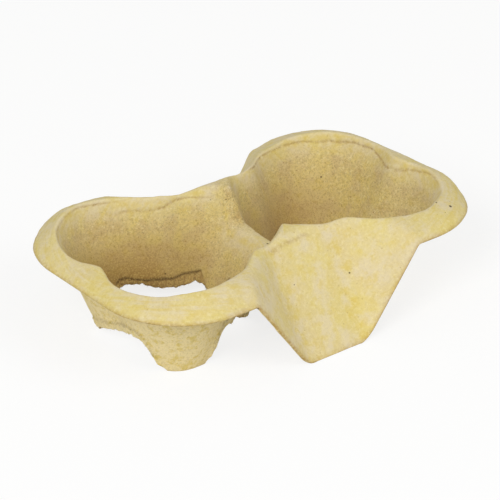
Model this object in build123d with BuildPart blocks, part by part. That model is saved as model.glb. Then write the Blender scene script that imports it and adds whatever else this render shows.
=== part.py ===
"""Two-cup carrier pressed from one sheet of paper pulp.

The sheet is the skin between two nested forms, the upper one hollowed out of
a roof-shaped blank by two cup pockets, two side valleys and the notch between
the pockets, the lower one the same forms grown by the wall. Z = 0 is the level
of the feet, X runs through both pockets, and the middle of the footprint is
the origin.
"""

import os
from math import atan2, cos, hypot

from build123d import *

os.makedirs("parts", exist_ok=True)

# The carrier as a whole
carrier_length = 215
carrier_width = 133
corner_radius = 44
flange_height = 44
wall = 1.6
overrun = 2

# The roof is rolled down at the trimmed edge, and rises to a shoulder and a short crown
roll_rise = 3
roll_run = 2.8
shoulder_rise = 7
shoulder_run = 14
crown_rise = 10
crown_run = 19
crown_half_length = 24
crown_corner_radius = 20

# Each cup pocket is wide at the crown and narrow at the feet
pocket_reach = 99
pocket_half_width = 54.5
left_foot_reach = 76
right_foot_reach = 70
foot_half_width = 33.5
pocket_corner_radius = 8
crown_outline_shares = (
    (-0.06, 0.42),
    (0.14, 0.65),
    (0.29, 0.68),
    (0.42, 0.89),
    (0.58, 0.98),
    (0.71, 1.00),
    (0.91, 0.80),
    (0.995, 0.50),
    (1.00, 0.24),
    (0.93, 0.00),
)
foot_outline_shares = (
    (0.215, 0.35),
    (0.30, 0.49),
    (0.45, 0.60),
    (0.60, 0.85),
    (0.72, 0.97),
    (0.84, 1.00),
    (0.97, 0.87),
    (1.00, 0.56),
    (0.995, 0.27),
    (0.95, 0.00),
)

# The divider between the pockets is cut down to a low saddle
saddle_drop = 6.5
saddle_half_width = 14
notch_half_width = 24
notch_reach = 20

# A valley runs down from the crown to the feet on each long side
valley_foot_half_width = 17.8
valley_flange_half_width = 50.3
valley_ridge_y = 33.2
valley_flank_pitch = 1.48
valley_fold_radius = 8

# Arches lift the pocket edges between the feet, each inside a lip that steps outwards
lip_width = 5
lip_step = 0.8
arch_height = 9
end_arch_half_width = 19
end_arch_top_half_width = 12
inner_arch_half_width = 8
inner_arch_top_half_width = 5
side_arch_start_share = 0.27
side_arch_end_share = 0.7
side_arch_slope_run = 4
arch_depth_share = 0.17

crown_height = flange_height + crown_rise
half_width = carrier_width / 2
wall_lean = atan2(pocket_half_width - foot_half_width, crown_height)
wall_across = wall / cos(wall_lean)


def pocket_points(foot_reach, height):
    """Corners of a pocket at one height, on straight lines from foot to crown."""
    share = height / crown_height
    points = []
    for (foot_x, foot_y), (crown_x, crown_y) in zip(foot_outline_shares, crown_outline_shares):
        x = (1 - share) * foot_x * foot_reach + share * crown_x * pocket_reach
        y = (1 - share) * foot_y * foot_half_width + share * crown_y * pocket_half_width
        points.append((x, y))
    return points


def pocket_form(foot_reach, grown_by=0):
    """The space of a pocket on the +X side, from below the feet to above the crown."""
    with BuildPart() as form:
        for height in (-overrun, crown_height + overrun):
            points = pocket_points(foot_reach, height)
            mirrored = [(x, -y) for x, y in points[:-1]]
            with BuildSketch(Plane.XY.offset(height)) as outline:
                with BuildLine():
                    Polyline(*mirrored, *reversed(points), close=True)
                make_face()
                fillet(outline.vertices(), radius=pocket_corner_radius)
                if grown_by:
                    offset(amount=grown_by, kind=Kind.ARC)
        loft(ruled=True)
    return form.part


def pocket_forms(grown_by=0):
    """The spaces of both pockets."""
    return [
        pocket_form(right_foot_reach, grown_by),
        pocket_form(left_foot_reach, grown_by).mirror(Plane.YZ),
    ]


def roof_form(lowered_by=0):
    """The space under the roof: a straight-sided blank with a sloping cap."""
    levels = (
        (0, 0, carrier_length, corner_radius),
        (roll_rise, roll_run, carrier_length - 2 * roll_run, corner_radius - roll_run),
        (shoulder_rise, shoulder_run, carrier_length - 2 * shoulder_run, corner_radius - shoulder_run),
        (crown_rise, crown_run, 2 * crown_half_length, crown_corner_radius),
    )
    with BuildPart() as form:
        with BuildSketch(Plane.XY.offset(-overrun)):
            RectangleRounded(carrier_length, carrier_width, corner_radius)
        extrude(amount=flange_height - lowered_by + overrun)
        for rise, inset, length, radius in levels:
            with BuildSketch(Plane.XY.offset(flange_height - lowered_by + rise)):
                RectangleRounded(length, carrier_width - 2 * inset, radius)
        loft(ruled=True)
    return form.part


def valley_form(grown_by=0):
    """The space of the valley on the +Y side, a trough that narrows and climbs to the crown."""
    floor_pitch = crown_height / (half_width - valley_ridge_y)
    flank_steepness = flange_height / (valley_flange_half_width - valley_foot_half_width)
    floor_drop = grown_by * hypot(1, floor_pitch)
    flank_drop = grown_by * hypot(1, flank_steepness, valley_flank_pitch)
    top = crown_height + overrun
    with BuildPart() as form:
        for inset in (-overrun, (crown_height + overrun / 2) / floor_pitch):
            floor = inset * floor_pitch - floor_drop
            flank = inset * valley_flank_pitch - flank_drop
            floor_x = valley_foot_half_width + (floor - flank) / flank_steepness
            top_x = valley_foot_half_width + (top - flank) / flank_steepness
            with BuildSketch(Plane.XZ.offset(inset - half_width)):
                with BuildLine():
                    Polyline((-floor_x, floor), (floor_x, floor), (top_x, top), (-top_x, top), close=True)
                make_face()
        loft(ruled=True)
        folds = form.edges().filter_by(lambda edge: abs(edge.tangent_at(0.5).Y) > 0.5)
        fillet(folds.sort_by(Axis.Z)[:2], radius=valley_fold_radius + grown_by)
    return form.part


def notch_form(grown_by=0):
    """The space between the pockets above the saddle of the divider."""
    floor = flange_height - saddle_drop - grown_by
    flank_pitch = (crown_rise + saddle_drop) / (notch_half_width - saddle_half_width)
    side_growth = grown_by * (hypot(1, flank_pitch) - 1) / flank_pitch
    floor_y = saddle_half_width + side_growth
    top = crown_height + overrun
    top_y = floor_y + (top - floor) / flank_pitch
    with BuildPart() as form:
        with BuildSketch(Plane.YZ):
            with BuildLine():
                Polyline((-floor_y, floor), (floor_y, floor), (top_y, top), (-top_y, top), close=True)
            make_face()
        extrude(amount=notch_reach, both=True)
    return form.part


def both_sides(form, plane):
    """A form and its mirror image."""
    return [form, form.mirror(plane)]


def all_forms(across=0, through=0):
    """Every hollow in the roof, grown across the pocket walls and through the other faces."""
    return [
        *pocket_forms(across),
        *both_sides(valley_form(through), Plane.XZ),
        notch_form(through),
    ]


def arch_forms(widened_by=0):
    """The spaces of all arches, each a prism through the walls between two feet."""
    head = arch_height + widened_by
    forms = []
    for side, foot_reach in ((-1, left_foot_reach), (1, right_foot_reach)):
        # An arch in the end wall, and one in the wall under the divider
        for place, foot, top in (
            (foot_reach, end_arch_half_width, end_arch_top_half_width),
            (foot_outline_shares[0][0] * foot_reach, inner_arch_half_width, inner_arch_top_half_width),
        ):
            with BuildPart() as form:
                with BuildSketch(Plane.YZ.offset(side * place)):
                    with BuildLine():
                        foot_y, top_y = foot + widened_by, top + widened_by
                        Polyline((-foot_y, 0), (foot_y, 0), (top_y, head), (-top_y, head), close=True)
                    make_face()
                extrude(amount=arch_depth_share * foot_reach, both=True)
            forms.append(form.part)
        # An arch through both long sides
        start = side_arch_start_share * foot_reach - widened_by
        end = side_arch_end_share * foot_reach + widened_by
        with BuildPart() as form:
            with BuildSketch(Plane.XZ):
                with BuildLine():
                    Polyline(
                        (side * start, 0),
                        (side * end, 0),
                        (side * (end - side_arch_slope_run), head),
                        (side * (start + side_arch_slope_run), head),
                        close=True,
                    )
                make_face()
            extrude(amount=pocket_half_width - wall, both=True)
        forms.append(form.part)
    return forms


blank = roof_form()
underside = roof_form(lowered_by=wall)
lip_spaces = arch_forms(widened_by=lip_width)

with BuildPart() as lips:
    add(pocket_forms(wall_across + lip_step))
    add(pocket_forms(lip_step), mode=Mode.SUBTRACT)
    with BuildPart(mode=Mode.INTERSECT):
        add(lip_spaces)

with BuildPart() as cup_carrier:
    add(blank)
    add(underside, mode=Mode.SUBTRACT)
    add(all_forms(across=wall_across, through=wall))
    add(blank, mode=Mode.INTERSECT)
    split(bisect_by=Plane.XY, keep=Keep.TOP)
    add(all_forms(), mode=Mode.SUBTRACT)
    add(lip_spaces, mode=Mode.SUBTRACT)
    add(lips.part)
    add(arch_forms(), mode=Mode.SUBTRACT)

cup_carrier.part.label = "cup_carrier"
export_step(cup_carrier.part, "parts/cup_carrier.step")
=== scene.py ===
"""Two-cup carrier of moulded paper pulp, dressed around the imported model.

The carrier is one pressed sheet. Its upper face is a height field: the lowest
of a rounded roof, two cup pockets, two side valleys and the notch between the
pockets, softened as wet pulp is, trimmed along the flange and torn open at the
feet. Heights and places are in millimetres until a mesh is made, and then in
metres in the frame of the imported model.
"""

import logging
import math
from dataclasses import dataclass, field
from enum import Enum

import bpy
import numpy as np
from mathutils import Matrix, Vector


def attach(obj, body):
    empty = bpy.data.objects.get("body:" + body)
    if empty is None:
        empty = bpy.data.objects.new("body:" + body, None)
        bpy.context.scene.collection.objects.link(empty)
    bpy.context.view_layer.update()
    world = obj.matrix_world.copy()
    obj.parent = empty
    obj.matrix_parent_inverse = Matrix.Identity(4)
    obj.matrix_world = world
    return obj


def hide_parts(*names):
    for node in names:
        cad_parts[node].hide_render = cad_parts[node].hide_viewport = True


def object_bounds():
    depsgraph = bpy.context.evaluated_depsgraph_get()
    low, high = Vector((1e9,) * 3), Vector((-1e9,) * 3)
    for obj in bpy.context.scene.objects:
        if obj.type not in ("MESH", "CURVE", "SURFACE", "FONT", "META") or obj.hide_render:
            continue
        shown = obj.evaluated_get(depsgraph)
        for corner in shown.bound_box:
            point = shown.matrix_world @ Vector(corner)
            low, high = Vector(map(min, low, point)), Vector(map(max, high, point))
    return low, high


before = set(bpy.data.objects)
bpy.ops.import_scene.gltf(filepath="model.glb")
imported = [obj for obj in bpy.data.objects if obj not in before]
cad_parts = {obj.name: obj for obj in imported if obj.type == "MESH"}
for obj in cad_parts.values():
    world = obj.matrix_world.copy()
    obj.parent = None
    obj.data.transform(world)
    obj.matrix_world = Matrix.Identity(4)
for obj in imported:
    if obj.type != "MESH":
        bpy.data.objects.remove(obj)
CAD_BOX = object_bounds()

LOG = logging.getLogger("cup_carrier")
MM = 0.001
HALF_LENGTH, HALF_WIDTH, CROWN_HEIGHT = (round(float(value) / MM, 3) for value in CAD_BOX[1])
POCKET_AXIS = 45.0
TINY = 1e-9
SLACK = 1e-6

Array = np.ndarray
Tree = bpy.types.NodeTree
Source = bpy.types.Node | bpy.types.NodeSocket
Profile = tuple[tuple[float, float], ...]
Track = tuple[tuple[float, float, float], ...]
Bumps = tuple[tuple[float, float, float, float], ...]
Ripples = tuple[tuple[float, float, int], ...]


class Pocket(Enum):
    """The two cup pockets, by the side of the carrier that each is on."""

    LEFT = -1
    RIGHT = 1


class Trait(Enum):
    """Point attributes of the sheet that its finish and its displacement read."""

    WALL = "pocket_wall"
    LOW_BROWN_AND_SHADE = "pocket_low_brown_shade"
    RIDGE_HIGHLIGHT = "crest"
    LIP = "torn_lip"
    CUT = "cut_edge"
    TORN = "torn_edge"
    BEVEL = "bevel_line"
    FLANGE = "flange"
    GROOVE_AND_SHADE = "groove"
    DARK_BROWN_AND_SHADE = "lip_fold_shade"
    RIM = "inner_rim"
    ROLL = "rolled_edge"
    FOLD = "valley_fold"
    UNDER = "under_face"
    AWAY_FROM_LOW_DARKENING = "light_grain_share"
    GRAINED = "brown_grain"


# Small numeric helpers


@dataclass(frozen=True)
class Ramp:
    """A rise from 0 at its start to 1 at its end, which may be the lower value, without a corner."""

    start: float
    end: float

    def at(self, value: Array) -> Array:
        """The share of the rise at each value."""
        share = np.clip((value - self.start) / (self.end - self.start), 0, 1)
        return share * share * (3 - 2 * share)


def bell(value: Array, width: float) -> Array:
    """One at zero, and next to nothing two widths away on either side."""
    return np.exp(-((value / width) ** 2))


def table_at(table: Profile, value: Array, outside: float | None = None) -> Array:
    """Reads a table of pairs at each value, with one number beyond its ends if given."""
    return np.interp(value, *np.array(table).T, left=outside, right=outside)


def smooth_max(first: Array, second: Array, blend: Array | float) -> Array:
    """The larger of two heights, rounded where they are within blend of each other."""
    near = np.maximum(blend - np.abs(first - second), 0) / blend
    return np.maximum(first, second) + near * near * blend / 4


def smooth_min(first: Array, second: Array, blend: Array | float) -> Array:
    """The smaller of two heights, rounded where they are within blend of each other."""
    return -smooth_max(-first, -second, blend)


def bumps(x: Array, y: Array, table: Bumps) -> Array:
    """Adds up round bumps.

    Args:
        x, y: Places.
        table: The middle of each bump in x and y, its spread and its height.

    Returns:
        The height of all bumps together at each place.
    """
    total = np.zeros(x.shape)
    for middle_x, middle_y, spread, height in table:
        total += height * np.exp(-((x - middle_x) ** 2 + (y - middle_y) ** 2) / (2 * spread**2))
    return total


def lattice_noise(points: Array, cell: float, seed: int) -> Array:
    """Smooth noise from a hashed lattice, the same on each run.

    Args:
        points: Places as rows of two or three coordinates.
        cell: Lattice spacing, in the unit of the places.
        seed: Number that picks the pattern.

    Returns:
        One value from -1 to 1 for each place.
    """
    scaled = points / cell
    base = np.floor(scaled).astype(np.int64)
    share = scaled - base
    share = share * share * (3 - 2 * share)
    axes = points.shape[1]
    # The large numbers and shifts are a hash that scatters neighbouring cells
    scatter = np.array([73856093, 19349663, 83492791][:axes], dtype=np.int64)
    total = np.zeros(len(points))
    for corner in range(2**axes):
        step = np.array([(corner >> axis) & 1 for axis in range(axes)], dtype=np.int64)
        number = ((base + step) * scatter).sum(axis=1) + seed * 668265263
        number = (number ^ (number >> 13)) & 0xFFFFFFFF
        number = (number * 1274126177) & 0xFFFFFFFF
        number = number ^ (number >> 16)
        weight = np.where(step == 1, share, 1 - share).prod(axis=1)
        total += weight * ((number & 0xFFFF) / 32767.5 - 1)
    return total


def waves(points: Array, ripples: Ripples) -> Array:
    """Adds up smooth noises, each given by its cell, its height and its seed."""
    return sum(height * lattice_noise(points, cell, seed) for cell, height, seed in ripples)


def inset_of_rounded_rectangle(x: Array, y: Array, half_x: float, half_y: float, radius: float) -> Array:
    """Measures how far inside a rounded rectangle each place lies.

    Args:
        x, y: Places.
        half_x, half_y: Half of the rectangle's length and width.
        radius: Radius of its corners.

    Returns:
        The distance to the outline, negative outside.
    """
    over_x = np.abs(x) - (half_x - radius)
    over_y = np.abs(y) - (half_y - radius)
    corner = np.hypot(np.maximum(over_x, 0), np.maximum(over_y, 0))
    return radius - corner - np.minimum(np.maximum(over_x, over_y), 0)


# The form of the sheet


@dataclass
class PocketForm:
    """A cup pocket as rings of radii about its axis, from the feet to the crown.

    The outlines are shares of the pocket's reach and half width. The walls that meet
    at the divider stand a little apart, which the two divider shares give at the crown.
    """

    side: Pocket
    foot_reach: float
    near_rim_inset: float
    far_divider_share: float
    near_divider_share: float = -0.03
    crown_reach: float = 99.0
    crown_half_width: float = 54.5
    foot_half_width: float = 33.5
    corner_softness: float = 4.2
    crown_shares: Profile = (
        (-0.06, 0.42), (0.14, 0.65), (0.29, 0.68), (0.42, 0.89), (0.58, 0.98),
        (0.71, 1.00), (0.91, 0.80), (0.995, 0.50), (1.00, 0.24), (0.93, 0.00),
    )
    foot_shares: Profile = (
        (0.215, 0.35), (0.30, 0.49), (0.45, 0.60), (0.60, 0.85), (0.72, 0.97),
        (0.84, 1.00), (0.97, 0.87), (1.00, 0.56), (0.995, 0.27), (0.95, 0.00),
    )
    ring_heights: tuple[float, ...] = (-14.0, 0.0, 18.0, 36.0, 54.0, 68.0)
    directions: int = 720

    @property
    def angles(self) -> Array:
        """The directions in which a ring gives its radius."""
        return np.linspace(-math.pi, math.pi, self.directions, endpoint=False)

    def outline_at(self, height: float) -> Array:
        """Finds the corners of the pocket at one height.

        Args:
            height: Height above the feet.

        Returns:
            Rows of x and y about the pocket's axis, as on the right-hand side.
        """
        share = height / CROWN_HEIGHT
        foot = np.array(self.foot_shares) * (self.foot_reach, self.foot_half_width)
        crown = np.array(self.crown_shares) * (self.crown_reach, self.crown_half_width)
        upper = (1 - share) * foot + share * crown
        lower = upper[:-1] * (1, -1) + (0, share * self.near_rim_inset)
        first = self.crown_shares[0][0]
        upper[0, 0] += share * self.crown_reach * (self.far_divider_share - first)
        lower[0, 0] += share * self.crown_reach * (self.near_divider_share - first)
        return np.vstack([lower, upper[::-1]]) - (POCKET_AXIS, 0)

    def ring(self, height: float) -> Array:
        """Measures the pocket's radii at one height, with its corners softened.

        Args:
            height: Height above the feet.

        Returns:
            The radius in each direction.
        """
        corners = self.outline_at(height)
        rays = np.stack([np.cos(self.angles), np.sin(self.angles)], axis=1)
        radii = np.full(self.directions, np.inf)
        for start, end in zip(corners, np.roll(corners, -1, axis=0)):
            edge = end - start
            across = rays[:, 0] * edge[1] - rays[:, 1] * edge[0]
            across = np.where(np.abs(across) < TINY, TINY, across)
            reach = (start[0] * edge[1] - start[1] * edge[0]) / across
            along = (start[0] * rays[:, 1] - start[1] * rays[:, 0]) / across
            hit = (reach > 0) & (along >= -SLACK) & (along <= 1 + SLACK)
            radii = np.where(hit & (reach < radii), reach, radii)
        spread = np.fft.rfftfreq(self.directions, 1 / self.directions)
        width = self.corner_softness / float(radii.mean())
        return np.fft.irfft(np.fft.rfft(radii) * np.exp(-((spread * width) ** 2) / 2), self.directions)

    def height(self, x: Array, y: Array) -> Array:
        """Finds the height of the pocket's wall, going on in a straight line past its ends.

        Args:
            x, y: Places.

        Returns:
            The wall's height over each place, below zero inside the feet.
        """
        local_x = x * self.side.value - POCKET_AXIS
        radius = np.hypot(local_x, y)
        angle = np.arctan2(y, local_x)
        rings = [np.interp(angle, self.angles, self.ring(z), period=2 * math.pi) for z in self.ring_heights]
        height = np.full(radius.shape, self.ring_heights[0])
        last = len(rings) - 2
        for index, (inner, outer) in enumerate(zip(rings, rings[1:])):
            rise = self.ring_heights[index + 1] - self.ring_heights[index]
            share = (radius - inner) / (outer - inner)
            height = height + rise * np.clip(share, 0 if index else -np.inf, 1 if index < last else np.inf)
        return height


@dataclass
class SheetForm:
    """Upper face of the carrier as heights over its footprint.

    The bumps are the warps of this carrier: of its roof, of its trimmed edge, of the
    valleys' brinks, and of the outline that it was trimmed to.
    """

    corner_radius: float = 44.0
    flange_height: float = 44.0
    shoulder_rise: float = 7.0
    shoulder_run: float = 14.0
    flange_profile: Profile = ((-10, -12), (0, 0), (2.8, 3.0), (5.0, 4.1), (9.0, 5.7), (14.0, 7.0))
    crown_half_length: float = 24.0
    crown_inset: float = 19.0
    crown_corner_radius: float = 20.0
    crown_blend: float = 1.0
    saddle_height: float = 37.5
    saddle_half_width: float = 14.0
    saddle_pitch: float = 1.9
    saddle_reach: float = 20.0
    saddle_end_pitch: float = 4.0
    divider_edge_blend: float = 0.8
    divider_blend: float = 8.0
    divider_end: Ramp = Ramp(10.0, 24.0)
    divider_far_side: Ramp = Ramp(-20.0, 4.0)
    valley_foot_half_width: float = 17.8
    valley_floor_pitch: float = 1.622
    valley_flank_steepness: float = 1.354
    valley_flank_pitch: float = 1.48
    valley_fold_blend: float = 7.0
    valley_edge_blend: float = 1.5
    valley_brink_blend: float = 7.0
    valley_brink: Ramp = Ramp(3.0, 14.0)
    valley_shift: float = 0.4
    softness: float = 1.1
    warp_start: Ramp = Ramp(0.0, 12.0)
    warps: Bumps = (
        (-62, -46, 16, 2.6), (45, -44, 18, 1.4), (-68, -42, 10, 1.2), (-80, 42, 15, 2.3),
        (-58, 50, 13, 0.8), (-33, 43, 7, -0.9), (0, 36, 12, 0.7), (32, 47, 9, -2.8),
        (60, 56, 14, -0.5), (92, 22, 12, 1.5),
    )
    edge_warps: Bumps = (
        (-70, 62, 14, 1.2), (49, 62, 8, -3.8), (70, 61, 12, -1.0), (102, 27, 11, -1.9), (104, -25, 10, 1.7),
    )
    valley_cuts: Bumps = (
        (34, 50, 10, 5.0), (45, 67, 8, 6.0), (-17, 36, 7, -2.4), (-2, 34, 9, -1.2),
        (16, 34, 6, -2.2), (19, -34, 8, -3.6),
    )
    trimmed_off: Bumps = ((-92, 58, 9, 1.1), (104, -38, 9, 1.1))
    cell: float = 0.3
    margin: float = 7.0
    pockets: tuple[PocketForm, ...] = field(
        default_factory=lambda: (
            PocketForm(Pocket.LEFT, 77.0, 2.6, -0.015), PocketForm(Pocket.RIGHT, 70.0, 1.5, 0.045)
        )
    )

    def inset(self, x: Array, y: Array) -> Array:
        """Distance of each place inside the trimmed edge, which is cut a little uneven."""
        even = inset_of_rounded_rectangle(x, y, HALF_LENGTH, HALF_WIDTH, self.corner_radius)
        return even - bumps(x, y, self.trimmed_off)

    def roof(self, x: Array, y: Array) -> Array:
        """Finds the height of the roof, steep at the trimmed edge and gentle over the crown.

        Args:
            x, y: Places.

        Returns:
            The roof's height over each place.
        """
        inset = self.inset(x, y)
        slope = table_at(self.flange_profile, inset)
        run = self.shoulder_run
        shoulder = inset_of_rounded_rectangle(
            x, y, HALF_LENGTH - run, HALF_WIDTH - run, self.corner_radius - run
        )
        crown = -inset_of_rounded_rectangle(
            x, y, self.crown_half_length, HALF_WIDTH - self.crown_inset, self.crown_corner_radius
        )
        climb = np.maximum(shoulder, 0)
        upper = climb / (climb + np.maximum(crown, 0) + SLACK)
        crown_rise = CROWN_HEIGHT - self.flange_height
        top = self.shoulder_rise + (crown_rise - self.shoulder_rise) * upper
        warp = bumps(x, y, self.warps) * self.warp_start.at(inset) + bumps(x, y, self.edge_warps)
        return self.flange_height + np.where(inset < run, slope, top) + warp

    def valley_faces(self, x: Array, y: Array) -> tuple[Array, Array]:
        """Finds the faces of the trough on the nearer long side.

        Args:
            x, y: Places.

        Returns:
            Heights of the floor and of the flanks.
        """
        inward = HALF_WIDTH - np.abs(y)
        cut = bumps(x, y, self.valley_cuts)
        flank = self.valley_flank_steepness * (np.abs(x - self.valley_shift) - self.valley_foot_half_width)
        return self.valley_floor_pitch * inward - cut, flank + self.valley_flank_pitch * inward - cut

    def valley(self, x: Array, y: Array) -> Array:
        """Height of the trough: its floor and flanks, joined by soft folds."""
        return smooth_max(*self.valley_faces(x, y), self.valley_fold_blend)

    def notch(self, x: Array, y: Array) -> Array:
        """Finds the height of the low saddle between the pockets.

        Args:
            x, y: Places.

        Returns:
            The saddle's height over each place.
        """
        climb = self.saddle_pitch * np.maximum(np.abs(y) - self.saddle_half_width, 0)
        outside = self.saddle_end_pitch * np.maximum(np.abs(x) - self.saddle_reach, 0)
        return self.saddle_height + climb + outside

    def pocket(self, x: Array, y: Array) -> Array:
        """Height of the lower of the two pockets' walls."""
        return np.minimum(*(form.height(x, y) for form in self.pockets))

    def sharp_height(self, x: Array, y: Array) -> Array:
        """Finds the height of the upper face before the pulp softens its corners.

        Args:
            x, y: Places.

        Returns:
            The height over each place.
        """
        brink = self.valley_edge_blend + self.valley_brink_blend * self.valley_brink.at(self.inset(x, y))
        outer = smooth_min(self.roof(x, y), self.valley(x, y), brink)
        middle = (1 - self.divider_end.at(np.abs(x))) * self.divider_far_side.at(y)
        ridge = self.divider_edge_blend + self.divider_blend * middle
        level = smooth_min(np.minimum(outer, self.notch(x, y)), self.pocket(x, y), ridge)
        return smooth_min(level, np.full(x.shape, CROWN_HEIGHT), self.crown_blend)


class HeightMap:
    """The softened heights of a form on a fine grid, read between its cells.

    A crest's share has a cap, and a place is kept a little more than a cell inside the grid.
    """

    crest_cap: float = 2.0
    last_cell: float = 1.001

    def __init__(self, form: SheetForm) -> None:
        """Samples the form, softens it, and finds its crests, bends and slopes.

        Args:
            form: The sheet's form.
        """
        self.cell = form.cell
        reach_x, reach_y = HALF_LENGTH + form.margin, HALF_WIDTH + form.margin
        self.x = np.arange(-reach_x, reach_x, form.cell)
        self.y = np.arange(-reach_y, reach_y, form.cell)
        grid_x, grid_y = np.meshgrid(self.x, self.y, indexing="ij")
        sharp = form.sharp_height(grid_x.ravel(), grid_y.ravel()).reshape(grid_x.shape)
        once = self.soften(sharp, form.softness)
        self.height = 2 * once - self.soften(once, form.softness)
        self.crest = np.clip((sharp - once) / form.softness, 0, self.crest_cap)
        self.bend = self.soften(np.abs(sharp - once), form.softness) / form.softness
        self.slope_x, self.slope_y = np.gradient(self.height, form.cell)

    def soften(self, values: Array, width: float) -> Array:
        """Blurs a grid of values by a bell.

        Args:
            values: The grid.
            width: Spread of the bell.

        Returns:
            The blurred grid.
        """
        across = np.fft.fftfreq(values.shape[0], self.cell)[:, None]
        along = np.fft.rfftfreq(values.shape[1], self.cell)[None, :]
        spectrum = np.exp(-2 * (math.pi * width) ** 2 * (across**2 + along**2))
        return np.fft.irfft2(np.fft.rfft2(values) * spectrum, values.shape)

    def read(self, grid: Array, places: Array) -> Array:
        """Reads a grid between its cells.

        Args:
            grid: One of the map's grids.
            places: Rows of x and y.

        Returns:
            The value at each place.
        """
        at_x = np.clip((places[:, 0] - self.x[0]) / self.cell, 0, len(self.x) - self.last_cell)
        at_y = np.clip((places[:, 1] - self.y[0]) / self.cell, 0, len(self.y) - self.last_cell)
        low_x, low_y = at_x.astype(int), at_y.astype(int)
        share_x, share_y = at_x - low_x, at_y - low_y
        near = grid[low_x, low_y] * (1 - share_y) + grid[low_x, low_y + 1] * share_y
        far = grid[low_x + 1, low_y] * (1 - share_y) + grid[low_x + 1, low_y + 1] * share_y
        return near * (1 - share_x) + far * share_x

    def levels(self, places: Array) -> Array:
        """Height of the softened form at places given as rows of x and y."""
        return self.read(self.height, places)

    def normals(self, places: Array) -> Array:
        """Finds which way the upper face looks.

        Args:
            places: Rows of x and y.

        Returns:
            A unit normal for each place, pointing up.
        """
        slope_x, slope_y = self.read(self.slope_x, places), self.read(self.slope_y, places)
        normals = np.stack([-slope_x, -slope_y, np.ones(len(places))], axis=1)
        return normals / np.linalg.norm(normals, axis=1, keepdims=True)


# Flat triangle meshes that are cut to shape


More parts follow.
